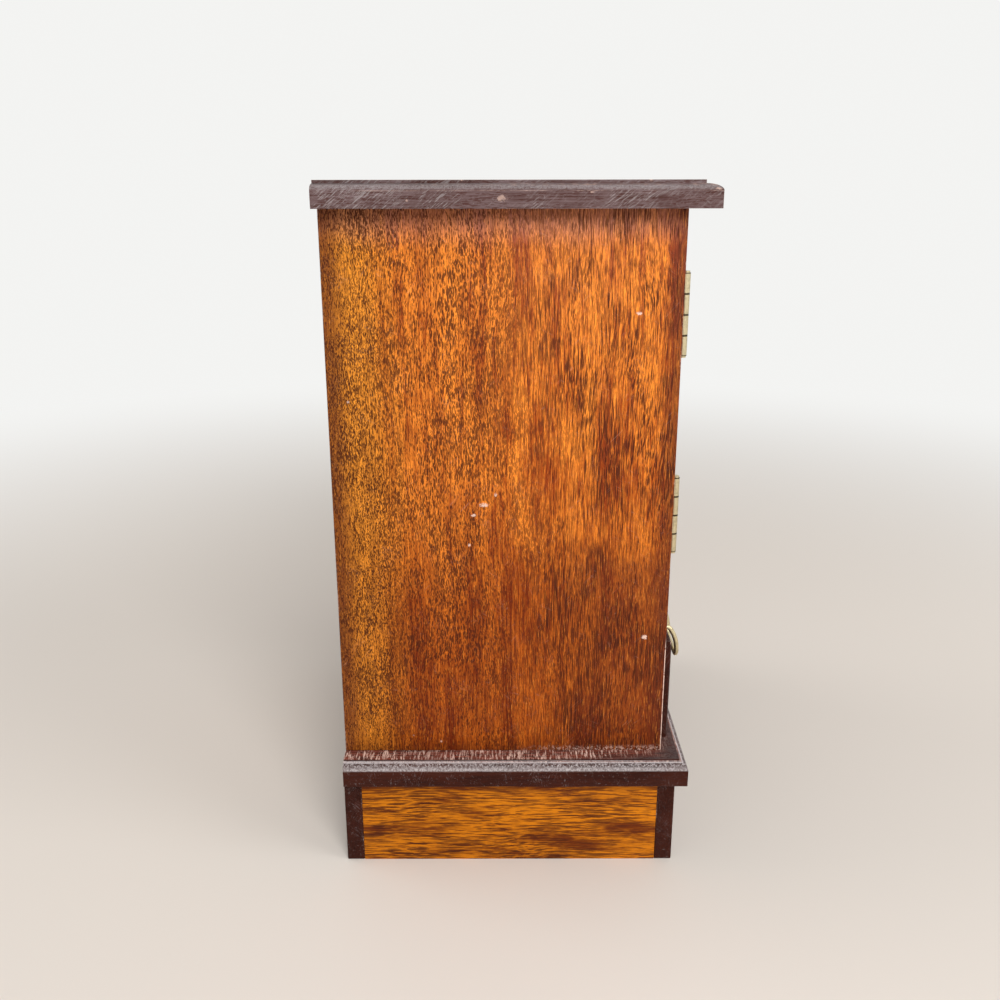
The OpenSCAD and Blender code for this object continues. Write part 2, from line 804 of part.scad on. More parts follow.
// One bent wire: pin, elbow, two curves down each arm, a corner, and the grip between them
module bail(side) {
    last = len(wire) - 1;
    points = [for (w = wire, k = [0:wire_sides - 1])
        let (a = 360 * k / wire_sides, across = cross(w[1], w[2]))
            w[0] + wire_r * (cos(a) * w[2] + sin(a) * across)];
    walls = [for (i = [0:last - 1], k = [0:wire_sides - 1])
        let (n = (k + 1) % wire_sides, here = i * wire_sides, next = here + wire_sides)
            each [[here + k, next + n, here + n], [here + k, next + k, next + n]]];
    ends = [for (k = [1:wire_sides - 2])
        each [[0, k, k + 1],
              [last * wire_sides, last * wire_sides + k + 1, last * wire_sides + k]]];
    color(brass) on_pull(side) polyhedron(points = points, faces = concat(walls, ends));
}

top_board();
base_board();
side_board(-1);  // left_side
side_board(1);  // right_side
back_panel();
drawer_rail();
dust_board();
shelf();
door_stop();
plinth_long(front_y - plinth_out);  // plinth_front
plinth_long(back_y + back_out - plinth_t);  // plinth_back
plinth_side(-1);  // plinth_left
plinth_side(1);  // plinth_right
plinth_blocks();
drawer_stops();
top_dowels();
base_screws();
back_pins();
catch_magnets();
hinge_plate(-1, hinge_z[1]);  // left_upper_hinge_plate
hinge_plate(-1, hinge_z[0]);  // left_lower_hinge_plate
hinge_plate(1, hinge_z[1]);  // right_upper_hinge_plate
hinge_plate(1, hinge_z[0]);  // right_lower_hinge_plate
hinge_pins();
side_hinge_screws();
hinge_stile(-1);  // left_door_hinge_stile
meeting_stile(-1);  // left_door_meeting_stile
door_rail(-1, door_z + door_h - door_rail_h);  // left_door_top_rail
door_rail(-1, door_z);  // left_door_bottom_rail
door_panel(-1);  // left_door_panel
hinge_leaf(-1, hinge_z[1]);  // left_upper_hinge_leaf
hinge_leaf(-1, hinge_z[0]);  // left_lower_hinge_leaf
door_hinge_screws(-1);  // left_door_hinge_screws
door_knob(-1);  // left_door_knob
door_knob_screw(-1);  // left_door_knob_screw
door_strike(-1);  // left_door_strike
hinge_stile(1);  // right_door_hinge_stile
meeting_stile(1);  // right_door_meeting_stile
door_rail(1, door_z + door_h - door_rail_h);  // right_door_top_rail
door_rail(1, door_z);  // right_door_bottom_rail
door_panel(1);  // right_door_panel
hinge_leaf(1, hinge_z[1]);  // right_upper_hinge_leaf
hinge_leaf(1, hinge_z[0]);  // right_lower_hinge_leaf
door_hinge_screws(1);  // right_door_hinge_screws
door_knob(1);  // right_door_knob
door_knob_screw(1);  // right_door_knob_screw
door_strike(1);  // right_door_strike
drawer_front();
drawer_side(-1);  // drawer_left_side
drawer_side(1);  // drawer_right_side
drawer_back();
drawer_bottom();
pull_plate(-1);  // left_pull_plate
pull_plate(1);  // right_pull_plate
pull_posts(-1);  // left_pull_posts
pull_posts(1);  // right_pull_posts
pull_nuts();
bail(-1);  // left_bail
bail(1);  // right_bail
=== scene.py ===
"""Dresses a small desktop cabinet: eased and worn boards, brass fittings, finishes and stage."""
import json
import math

import bpy
from mathutils import Matrix, Vector


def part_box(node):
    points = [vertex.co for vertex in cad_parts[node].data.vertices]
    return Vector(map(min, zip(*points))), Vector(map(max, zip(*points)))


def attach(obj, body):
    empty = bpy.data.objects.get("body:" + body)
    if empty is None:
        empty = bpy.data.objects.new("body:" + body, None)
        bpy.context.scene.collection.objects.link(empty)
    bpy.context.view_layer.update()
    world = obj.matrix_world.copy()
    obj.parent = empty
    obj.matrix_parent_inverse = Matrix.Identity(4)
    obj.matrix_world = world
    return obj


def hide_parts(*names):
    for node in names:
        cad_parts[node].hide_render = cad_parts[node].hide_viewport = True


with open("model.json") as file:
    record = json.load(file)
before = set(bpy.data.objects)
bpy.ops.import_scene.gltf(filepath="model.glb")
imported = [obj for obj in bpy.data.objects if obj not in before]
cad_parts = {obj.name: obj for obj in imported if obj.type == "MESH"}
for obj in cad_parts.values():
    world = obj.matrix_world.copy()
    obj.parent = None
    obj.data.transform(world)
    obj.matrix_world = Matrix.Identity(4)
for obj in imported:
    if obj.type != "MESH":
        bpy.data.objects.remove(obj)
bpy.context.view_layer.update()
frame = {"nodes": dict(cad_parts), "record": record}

bl_info = {
    "name": "Desktop Cabinet Dressing",
    "version": (1, 0, 0),
    "blender": (4, 5, 0),
    "location": "3D View > Sidebar > Cabinet",
    "description": "Eases, wears and finishes a small cabinet with doors and a drawer",
    "category": "Object",
}

MM = 0.001
NODES = frame["nodes"]
BODY_OF = {n: b for b, names in frame["record"]["behaviour"]["bodies"].items() for n in names}
SLOT_OF = {s["node"]: s["material_slot"] for s in frame["record"]["subparts"]}
SIDES = ("left", "right")

DARK_BOARDS = {"top_board": "Y", "base_board": "Y", "plinth_front": "X", "plinth_back": "X",
               "drawer_rail": "X", "drawer_front": "X"}
DOOR_BOARDS = {"hinge_stile": "Z", "meeting_stile": "Z", "top_rail": "X", "bottom_rail": "X"}
PLAIN_BOARDS = {"back_panel": "Z", "dust_board": "X", "shelf": "X", "door_stop": "X",
                "plinth_blocks": "Z", "drawer_stops": "X", "drawer_left_side": "Y",
                "drawer_right_side": "Y", "drawer_back": "X", "drawer_bottom": "X"}

SHARP_FOLD = 35          # degrees: a fold sharper than this is an edge of a board
SHORTEST_EASE = 4.0      # mm: shorter edges stay sharp
OUTER_REACH = 9.0        # mm: only edges this near to a board's outline are eased

# A pull's wire in mm and degrees: its pin, bends, sweep and lower corners
PIVOT_OUT, PIN_LENGTH, WIRE_MARGIN = 2.0, 4.4, 0.9
ELBOW_R, BEND_R, SWEEP_R, CORNER_R = 1.0, 2.0, 14.4, 2.7
FIRST_BEND, SWEEP_BEND = 55, 35

OILED_SPECULAR, DARK_SPECULAR = 0.10, 0.05   # shine of oiled and of dark stained wood

# Broken chips in mm: across, up, half width, half height
SIDE_CHIPS = ((-41.5, 83.7, 1.1, 0.9), (11.6, 130.0, 1.6, 0.8), (8.0, 133.5, 0.7, 0.7),
              (15.0, 126.5, 0.9, 0.5), (16.5, 116.4, 0.5, 0.6), (-35.5, 190.5, 1.0, 0.6))
TOP_CHIPS = ((5.9, 224.0, 1.5, 1.1), (-55.5, 226.5, 1.1, 0.5), (-20.0, 225.6, 0.8, 0.3),
             (33.0, 223.4, 0.5, 0.4))
FLAT = 1e6               # mm: so wide that a chip's place along this axis doesn't matter

# Lamps in metres and watts: name, place, aim, size, power
LAMPS = (("key", (-1.15, -0.30, 0.85), (0, 0, 0.11), 0.75, 14.2),
         ("front fill", (-0.55, -1.2, 0.75), (0, 0, 0.11), 0.9, 6.5),
         ("back fill", (0.3, 1.3, 0.9), (0, 0, 0.12), 1.0, 5.0))
SOFT_LIGHT = 0.46        # strength of the world's light
FLOOR_FADE = (0.22, 0.85)  # metres from the middle over which the floor turns to backdrop

# The camera: turns in degrees, place in mm (out from the near side, along Y, up), lens in mm
CAMERA_PITCH, CAMERA_YAW, CAMERA_ROLL = 17.456, 0.047, -0.077
CAMERA_OUT, CAMERA_Y, CAMERA_UP, CAMERA_LENS = 305.7, 6.80, 227.77, 36.163


# ---------------------------------------------------------------- settings

def colour_prop(name, text, value):
    return bpy.props.FloatVectorProperty(name=name, description=text, default=value,
                                         subtype="COLOR", size=3, min=0, max=1)


def length_prop(name, text, mm):
    return bpy.props.FloatProperty(name=name, description=text, default=mm * MM,
                                   subtype="DISTANCE", unit="LENGTH", precision=5)


class CabinetBoards(bpy.types.PropertyGroup):
    """Sizes of the eased edges of the boards"""
    board_ease: length_prop("Board edge", "Width of the eased edge of a board", 0.35)
    thin_ease: length_prop("Thin edge", "Width of the eased edge of a thin board", 0.18)
    ease_steps: bpy.props.IntProperty(name="Edge steps", default=2, min=1, max=4,
                                      description="Facets across an eased edge")


class CabinetBrass(bpy.types.PropertyGroup):
    """Sizes of the brass fittings"""
    wire_r: length_prop("Pull wire radius", "Radius of the wire of a pull", 0.88)
    wire_sides: bpy.props.IntProperty(name="Wire sides", default=24, min=12, max=48,
                                      description="Facets round the wire of a pull")


class CabinetColours(bpy.types.PropertyGroup):
    """Colours of the finishes"""
    side_orange: colour_prop("Side orange", "Light grain of the sides", (0.95, 0.275, 0.028))
    side_red: colour_prop("Side red", "Deep grain of the sides", (0.27, 0.040, 0.004))
    side_yellow: colour_prop("Side yellow", "Sapwood band at the back", (0.92, 0.33, 0.030))
    # this dark also paints the shade round the rims of the door panels
    side_dark: colour_prop("Side dark", "Stain in the dark patches", (0.110, 0.020, 0.007))
    pore: colour_prop("Pores", "Dark open pores", (0.050, 0.009, 0.003))
    top_grey: colour_prop("Top grey", "Worn dark finish of the top", (0.175, 0.122, 0.124))
    dark_red: colour_prop("Dark red", "Red brown under the dark finish", (0.052, 0.0145, 0.0095))
    dark_brown: colour_prop("Dark brown", "Dark finish of base, plinth and frames",
                            (0.017, 0.0045, 0.0028))
    amber: colour_prop("Amber", "Light grain of the plinth sides", (0.56, 0.170, 0.004))
    # this dark also paints the shade under the base board's overhang
    amber_dark: colour_prop("Amber dark", "Dark grain of the plinth sides", (0.125, 0.023, 0.002))
    plain: colour_prop("Plain wood", "Unfinished wood inside", (0.46, 0.27, 0.13))
    dust: colour_prop("Dust", "Pale dust and bare chips", (0.72, 0.50, 0.41))
    # grey of dust, also used as painted sheen on slopes and painted highlight down the base's
    # round edge
    film_and_sheen: colour_prop("Film", "Grey film of dust on what slopes up", (0.36, 0.33, 0.33))
    brass: colour_prop("Brass", "Aged brass", (0.62, 0.52, 0.32))
    brass_dull: colour_prop("Dull brass", "Tarnished blotches of the brass", (0.33, 0.28, 0.18))
    steel: colour_prop("Steel", "Plated steel", (0.46, 0.46, 0.47))
    steel_dull: colour_prop("Dull steel", "Dull blotches of the steel", (0.25, 0.24, 0.22))
    # painted shade: this dark stands for the shade in the gaps between a hinge's knuckles
    gap_shade: colour_prop("Grime", "Grime in the gaps of a hinge", (0.05, 0.035, 0.02))
    floor: colour_prop("Floor", "Plain floor", (0.72, 0.66, 0.60))
    wall: colour_prop("Wall", "Plain backdrop", (0.90, 0.90, 0.885))


# ---------------------------------------------------------------- picking and modelling

def only(obj):
    if bpy.context.mode != "OBJECT":
        bpy.ops.object.mode_set(mode="OBJECT")
    bpy.ops.object.select_all(action="DESELECT")
    bpy.context.view_layer.objects.active = obj
    obj.select_set(True)
    return obj


def edit(mode="EDGE"):
    bpy.ops.object.mode_set(mode="EDIT")
    bpy.ops.mesh.select_mode(type=mode)


def done():
    bpy.ops.object.mode_set(mode="OBJECT")


def pick_edges(obj, test):
    """Selects the edges that pass the test, and returns how many there are."""
    done()
    mesh = obj.data
    for group in (mesh.polygons, mesh.edges, mesh.vertices):
        group.foreach_set("select", [False] * len(group))
    count = 0
    for e in mesh.edges:
        a, b = (mesh.vertices[i] for i in e.vertices)
        if test(e, a.co, b.co):
            e.select = a.select = b.select = True
            count += 1
    edit("EDGE")
    return count


def board_copy(node):
    """A copy of a CAD board with its loose triangles merged into plain faces."""
    only(NODES[node])
    bpy.ops.object.duplicate()
    obj = bpy.context.active_object
    obj.name = node + "_board"
    for key in [k for k in obj.keys() if k.startswith("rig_")]:
        del obj[key]
    obj.parent = None
    obj.matrix_world = Matrix.Identity(4)
    obj.data.materials.clear()
    only(obj)
    edit("VERT")
    bpy.ops.mesh.select_all(action="SELECT")
    bpy.ops.mesh.remove_doubles(threshold=1e-6)
    bpy.ops.mesh.dissolve_limited(angle_limit=math.radians(0.5))
    done()
    return obj


def sharp_edges(obj):
    """The sharp folds of a mesh, as a set of edge keys."""
    sides = {}
    for p in obj.data.polygons:
        for k in p.edge_keys:
            sides.setdefault(k, []).append(p.normal.copy())
    limit = math.cos(math.radians(SHARP_FOLD))
    return {k for k, n in sides.items() if len(n) == 2 and n[0].dot(n[1]) < limit}


def ease(obj, width, steps):
    """Rounds the long sharp folds of a board, and marks the round as its worn arris."""
    sharp = sharp_edges(obj)
    lo = Vector(min(v.co[i] for v in obj.data.vertices) for i in range(3))
    hi = Vector(max(v.co[i] for v in obj.data.vertices) for i in range(3))

    def outer(co):
        near = [min(abs(co[i] - lo[i]), abs(co[i] - hi[i])) < OUTER_REACH * MM for i in range(3)]
        return sum(near) >= 2

    def wanted(e, a, b):
        long = (a - b).length > SHORTEST_EASE * MM
        return e.key in sharp and long and (outer(a) or outer(b))

    obj.data.materials.append(None)
    obj.data.materials.append(None)
    if pick_edges(obj, wanted):
        bpy.ops.mesh.bevel(offset=width, segments=steps, profile=0.5, clamp_overlap=True,
                           affect="EDGES", material=1)
    done()
    mark = obj.data.attributes.new("arris", "FLOAT", "CORNER")
    for p in obj.data.polygons:
        for corner in p.loop_indices:
            mark.data[corner].value = float(p.material_index)
        p.material_index = 0
    only(obj)
    bpy.ops.object.shade_smooth_by_angle(angle=math.radians(40))
    return obj


def finish_piece(obj, body, slot, material, *nodes):
    obj.data.materials.clear()
    obj.data.materials.append(material)
    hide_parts(*nodes)
    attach(obj, body)
    return obj


def eased_board(node, width, steps, material):
    obj = ease(board_copy(node), width, steps)
    return finish_piece(obj, BODY_OF[node], SLOT_OF[node], material, node)


# ---------------------------------------------------------------- node groups

class Graph:
    """Short ways to add and join nodes in one tree."""

    def __init__(self, tree):
        self.tree = tree

    def add(self, kind, **inputs):
        """A node. set_x sets its property x, i0 its first input, and other names inputs."""
        node = self.tree.nodes.new("ShaderNode" + kind)
        for key in [k for k in inputs if k.startswith("set_")]:
            setattr(node, key[4:], inputs.pop(key))
        for key, value in inputs.items():
            slot = node.inputs[int(key[1:]) if key[0] == "i" and key[1:].isdigit()
                               else key.replace("_", " ")]
            if isinstance(value, bpy.types.NodeSocket):
                self.tree.links.new(value, slot)
            else:
                slot.default_value = value
        return node

    def math(self, op, a, b=0.0, c=0.0):
        return self.add("Math", set_operation=op, i0=a, i1=b, i2=c).outputs[0]

    def mul(self, a, b):
        return self.math("MULTIPLY", a, b)

    def most(self, a, b):
        return self.math("MAXIMUM", a, b)

    def span(self, value, low, high, to_low=0.0, to_high=1.0):
        """Maps low..high of a value smoothly to to_low..to_high."""
        return self.add("MapRange", set_interpolation_type="SMOOTHSTEP", i0=value, i1=low,
                        i2=high, i3=to_low, i4=to_high).outputs[0]

    def mix(self, factor, a, b, blend="MIX"):
        node = self.add("Mix", set_data_type="RGBA", set_blend_type=blend, i0=factor)
        for slot, value in ((node.inputs[6], a), (node.inputs[7], b)):
            if isinstance(value, bpy.types.NodeSocket):
                self.tree.links.new(value, slot)
            else:
                slot.default_value = (*value[:3], 1)
        return node.outputs[2]

    def parts(self, value):
        """X, Y and Z of a vector."""
        return self.add("SeparateXYZ", Vector=value).outputs

    def noise(self, place, scale, detail=2.0, rough=0.5, warp=0.0):
        return self.add("TexNoise", Vector=place, Scale=scale, Detail=detail, Roughness=rough,
                        Distortion=warp).outputs[0]

    def stretch(self, place, scale, turn=(0, 0, 0), move=(0, 0, 0)):
        """Turns a place first, then scales it, so that a pattern runs along a turned axis."""
        turned = self.add("VectorRotate", set_rotation_type="EULER_XYZ", Vector=place,
                          Rotation=turn).outputs[0]
        moved = self.add("VectorMath", set_operation="ADD", i0=turned, i1=move).outputs[0]
        return self.add("VectorMath", set_operation="MULTIPLY", i0=moved, i1=scale).outputs[0]


def new_group(name, inputs, outputs):
    tree = bpy.data.node_groups.new(name, "ShaderNodeTree")
    for label, kind, value in inputs:
        slot = tree.interface.new_socket(label, in_out="INPUT", socket_type="NodeSocket" + kind)
        if value is not None:
            slot.default_value = value
    for label, kind in outputs:
        tree.interface.new_socket(label, in_out="OUTPUT", socket_type="NodeSocket" + kind)
    g = Graph(tree)
    source, target = tree.nodes.new("NodeGroupInput"), tree.nodes.new("NodeGroupOutput")
    return g, source.outputs, target.inputs, tree


def grain_group():
    """Grain along Z: broad bands, fine fibres and dark open pores. The place is in mm."""
    g, i, o, tree = new_group(
        "wood grain",
        [("Place", "Vector", None), ("Pore Width", "Float", 0.5), ("Pore Length", "Float", 2.6),
         ("Pore Amount", "Float", 0.5), ("Wander", "Float", 1.0)],
        [("Bands", "Float"), ("Fibres", "Float"), ("Pores", "Float"), ("Figure", "Float")])
    sway = g.noise(g.stretch(i["Place"], (0.035, 0.035, 0.012)), 1.0, 2.0)
    shift = g.mul(g.math("SUBTRACT", sway, 0.5), g.mul(i["Wander"], 9.0))
    push = g.add("CombineXYZ", X=shift, Y=shift, Z=0.0).outputs[0]
    place = g.add("VectorMath", set_operation="ADD", i0=i["Place"], i1=push).outputs[0]
    bands = g.noise(g.stretch(place, (0.16, 0.16, 0.011)), 1.0, 5.0, 0.62)
    fibres = g.noise(g.stretch(place, (1.9, 1.9, 0.075)), 1.0, 4.0, 0.7)
    figure = g.noise(g.stretch(place, (0.055, 0.055, 0.030), move=(31, 7, 12)), 1.0, 4.0, 0.6,
                     0.6)
    wide = g.math("DIVIDE", 1.0, i["Pore Width"])
    long = g.math("DIVIDE", 1.0, i["Pore Length"])
    cell = g.add("CombineXYZ", X=wide, Y=wide, Z=long).outputs[0]
    spread = g.span(figure, 0.38, 0.62, 0.75, 1.25)
    pores = None
    for size, move in ((0.95, (0, 0, 0)), (0.62, (3.3, 1.7, 5.1))):
        there = g.add("VectorMath", set_operation="MULTIPLY", i0=place, i1=cell).outputs[0]
        there = g.add("VectorMath", set_operation="MULTIPLY_ADD", i0=there,
                      i1=(size,) * 3, i2=move).outputs[0]
        cells = g.add("TexVoronoi", Vector=there, Scale=1.0, Randomness=1.0)
        lottery = g.add("SeparateColor", Color=cells.outputs["Color"]).outputs[0]
        reach = g.mul(g.mul(i["Pore Amount"], spread), g.span(lottery, 0.0, 1.0, 0.22, 0.64))
        edge = g.math("SUBTRACT", reach, cells.outputs["Distance"])
        one = g.span(edge, -0.03, 0.12)
        pores = one if pores is None else g.most(pores, one)
    for name, value in (("Bands", bands), ("Fibres", fibres), ("Pores", pores),
                        ("Figure", figure)):
        tree.links.new(value, o[name])
    return tree


def wear_group():
    """Rubbed edges, scratches, specks and dust. Arris is the board's worn edge."""
    g, i, o, tree = new_group(
        "wear",
        [("Place", "Vector", None), ("Arris", "Float", 0.0), ("Scratch Turn", "Float", 0.8),
         ("Edge Wear", "Float", 0.5), ("Scratches", "Float", 0.5), ("Dust", "Float", 0.3)],
        [("Rub", "Float"), ("Scratch", "Float"), ("Speck", "Float"), ("Dust", "Float")])
    patch = g.noise(i["Place"], 0.09, 4.0, 0.62)
    fine = g.noise(g.stretch(i["Place"], (1, 1, 1), move=(11, 3, 5)), 1.6, 3.0, 0.7)
    rub = g.span(g.math("ADD", g.mul(patch, 0.6), g.mul(fine, 0.4)),
                 g.math("SUBTRACT", 0.66, g.mul(i["Edge Wear"], 0.26)), 0.70)
    rub = g.mul(rub, i["Arris"])
    turn = g.add("CombineXYZ", X=i["Scratch Turn"], Y=0.0, Z=g.mul(i["Scratch Turn"], 0.5))
    lines = None
    for spin, scale, move in ((1.0, (1.5, 1.5, 0.10), (2, 9, 4)),
                              (-0.7, (1.1, 1.1, 0.05), (40, 2, 19)),
                              (0.35, (2.3, 2.3, 0.16), (5, 70, 8))):
        angle = g.add("VectorMath", set_operation="SCALE", i0=turn.outputs[0], Scale=spin)
        there = g.stretch(i["Place"], scale, angle.outputs[0], move)
        line = g.math("ABSOLUTE", g.math("SUBTRACT", g.noise(there, 1.0, 1.0, 0.4), 0.5))
        line = g.span(line, 0.0, 0.012, 1.0, 0.0)
        line = g.mul(line, g.span(g.noise(g.stretch(i["Place"], (1, 1, 1), move=move), 0.16,
                                          2.0), 0.56, 0.66))
        lines = line if lines is None else g.most(lines, line)
    scratch = g.mul(lines, i["Scratches"])
    dots = g.add("TexVoronoi", Vector=i["Place"], Scale=0.11, Randomness=1.0)
    lottery = g.add("SeparateColor", Color=dots.outputs["Color"]).outputs[1]
    speck = g.mul(g.span(dots.outputs["Distance"], 0.02, 0.075, 1.0, 0.0),
                  g.span(lottery, 0.82, 0.90))
    speck = g.mul(speck, g.span(fine, 0.42, 0.55))
    soft = g.span(g.noise(i["Place"], 0.5, 6.0, 0.75), 0.45, 0.68)
    dust = g.mul(g.mul(soft, i["Dust"]), g.span(patch, 0.35, 0.65, 0.35, 1.0))
    for name, value in (("Rub", rub), ("Scratch", scratch), ("Speck", speck), ("Dust", dust)):
        tree.links.new(value, o[name])
    return tree


def chip_group():
    """One broken chip round a spot. Half Size is huge along the axis that the face looks along."""
    g, i, o, tree = new_group(
        "chip", [("Place", "Vector", None), ("Spot", "Vector", None),
                 ("Half Size", "Vector", None)], [("Chip", "Float")])
    away = g.add("VectorMath", set_operation="SUBTRACT", i0=i["Place"], i1=i["Spot"]).outputs[0]
    away = g.add("VectorMath", set_operation="DIVIDE", i0=away, i1=i["Half Size"]).outputs[0]
    far = g.add("VectorMath", set_operation="DOT_PRODUCT", i0=away, i1=away).outputs["Value"]
    ragged = g.mul(g.math("SUBTRACT", g.noise(i["Place"], 1.1, 5.0, 0.85), 0.46), 6.0)
    tree.links.new(g.span(g.math("ADD", far, ragged), 1.15, 0.35), o["Chip"])
    return tree


GROUPS = {}


def shared(name, maker):
    """The node group of that name, made when it is first asked for."""
    if name not in GROUPS:
        GROUPS[name] = maker()
    return GROUPS[name]


def grouped(g, name, maker, **inputs):
    node = g.tree.nodes.new("ShaderNodeGroup")
    node.node_tree = shared(name, maker)
    for key, value in inputs.items():
        slot = node.inputs[key.replace("_", " ")]
        if isinstance(value, bpy.types.NodeSocket):
            g.tree.links.new(value, slot)
        else:
            slot.default_value = value
    return node.outputs


# ---------------------------------------------------------------- materials

def marks(g, place, spots, seen="YZ"):
    """Broken chips at given places on a face that lies in the plane of two axes."""
    found = None
    for across, up, wide, high in spots:
        spot, half = [0.0, 0.0, 0.0], [FLAT, FLAT, FLAT]
        for axis, middle, reach in zip(seen, (across, up), (wide, high)):
            spot["XYZ".index(axis)], half["XYZ".index(axis)] = middle, reach
        one = grouped(g, "chip", chip_group, Place=place, Spot=spot, Half_Size=half)["Chip"]
        found = one if found is None else g.most(found, one)
    return found


TURN_TO_Z = {"X": (0.0, -math.pi / 2, 0.0), "Y": (math.pi / 2, 0.0, 0.0), "Z": (0.0, 0.0, 0.0)}


def start_material(name):
    mat = bpy.data.materials.new(name)
    mat.use_nodes = True
    mat.node_tree.nodes.clear()
    g = Graph(mat.node_tree)
    out = g.add("OutputMaterial")
    shader = g.add("BsdfPrincipled")
    mat.node_tree.links.new(shader.outputs[0], out.inputs[0])
    raw = g.add("TexCoord").outputs["Object"]
    place = g.add("VectorMath", set_operation="SCALE", i0=raw, Scale=1000.0).outputs[0]
    return mat, g, shader, place


def along(g, place, axis, seed=0.0):
    """The place with its grain axis turned to Z, moved so that boards differ."""
    return g.stretch(place, (1, 1, 1), TURN_TO_Z[axis], (seed * 13.7, seed * 5.1, seed * 29.3))


def arris_of(g):
    return g.add("Attribute", set_attribute_name="arris").outputs["Fac"]


def bump(g, shader, height, distance_mm, strength=1.0):
    node = g.add("Bump", Strength=strength, Distance=distance_mm * MM, Height=height)
    g.tree.links.new(node.outputs[0], shader.inputs["Normal"])


def link(g, value, shader, slot):
    g.tree.links.new(value, shader.inputs[slot])


def side_zones(g, c, grain, place, seed, colour, pores):
    """The zones of a side: yellow band at the back, darker low parts, painted shade under the
    top's overhang, rims and foot.
    """
    y, z = g.parts(place)[1], g.parts(place)[2]
    figure, fibres = grain["Figure"], grain["Fibres"]
    wobble = g.math("MULTIPLY_ADD", g.math("SUBTRACT", grain["Bands"], 0.5), 16.0, y)
    band = g.span(wobble, 33.0, 52.0)
    yellow = g.mix(g.span(fibres, 0.35, 0.62), [v * 0.62 for v in c.side_yellow], c.side_yellow)
    colour = g.mix(g.mul(band, 0.85), colour, yellow)
    dots = grouped(g, "grain", grain_group, Place=along(g, place, "Z", seed + 7),
                   Pore_Width=0.24, Pore_Length=0.8, Pore_Amount=0.74, Wander=0.6)
    pores = g.most(pores, g.mul(dots["Pores"], g.span(wobble, 30.0, 46.0)))
    low = g.span(g.math("MULTIPLY_ADD", figure, 50.0, z), 172.0, 112.0)
    low = g.mul(low, g.math("SUBTRACT", 0.92, g.mul(band, 0.55)))
    colour = g.mix(low, colour, (0.50, 0.36, 0.22), "MULTIPLY")
    corner = g.mul(g.span(g.math("MULTIPLY_ADD", figure, 40.0, y), 12.0, -8.0),
                   g.span(g.math("MULTIPLY_ADD", figure, 40.0, z), 138.0, 128.0))
    colour = g.mix(g.mul(corner, 0.42), colour, c.side_dark)
    # painted shade under the top's overhang: a dull purplish brown band along the top of the side
    top = g.span(g.math("MULTIPLY_ADD", figure, 10.0, z), 213.0, 224.5)
    colour = g.mix(g.mul(top, 0.60), colour, (0.54, 0.225, 0.155))
    rim = g.mul(g.span(y, 51.5, 58.6), g.span(fibres, 0.30, 0.58, 0.60, 1.15))
    rim = g.most(rim, g.span(y, -42.0, -48.6))
    colour = g.mix(g.mul(rim, 0.72), colour, c.side_dark)
    foot = g.span(g.math("MULTIPLY_ADD", fibres, 6.0, z), 50.0, 42.5)
    return g.mix(g.mul(foot, 0.55), colour, c.side_dark), pores


def side_chips(g, place, chips):
    """Pale crumbs along the front of a side's foot, its rubbed front edge, and its chips."""
    y, z = g.parts(place)[1], g.parts(place)[2]
    crumbs = g.mul(g.span(g.noise(place, 1.3, 5.0, 0.8), 0.50, 0.60),
                   g.mul(g.span(z, 43.4, 41.2), g.span(y, 5.0, -22.0)))
    rubbed = g.mul(g.mul(arris_of(g), g.span(y, -47.5, -48.4)), g.mul(
        g.span(z, 84.0, 78.0), g.span(g.noise(place, 0.6, 4.0, 0.7), 0.32, 0.46)))
    pale = g.most(crumbs, rubbed)
    return g.most(pale, marks(g, place, chips)) if chips else pale


def rim_shade_and_dirt(g, box, place, figure):
    """Painted shade and dark dirt round the rim of a panel that fills the box."""
    lo, hi = box
    found = None
    for k in (0, 2):
        middle, half = (lo[k] + hi[k]) / 2 / MM, (hi[k] - lo[k]) / 2 / MM
        off = g.math("ABSOLUTE", g.math("SUBTRACT", g.parts(place)[k], middle))
        off = g.math("MULTIPLY_ADD", figure, 2.5, off)
        one = g.span(off, half - 7.0, half - 2.6)
        found = one if found is None else g.most(found, one)
    return found


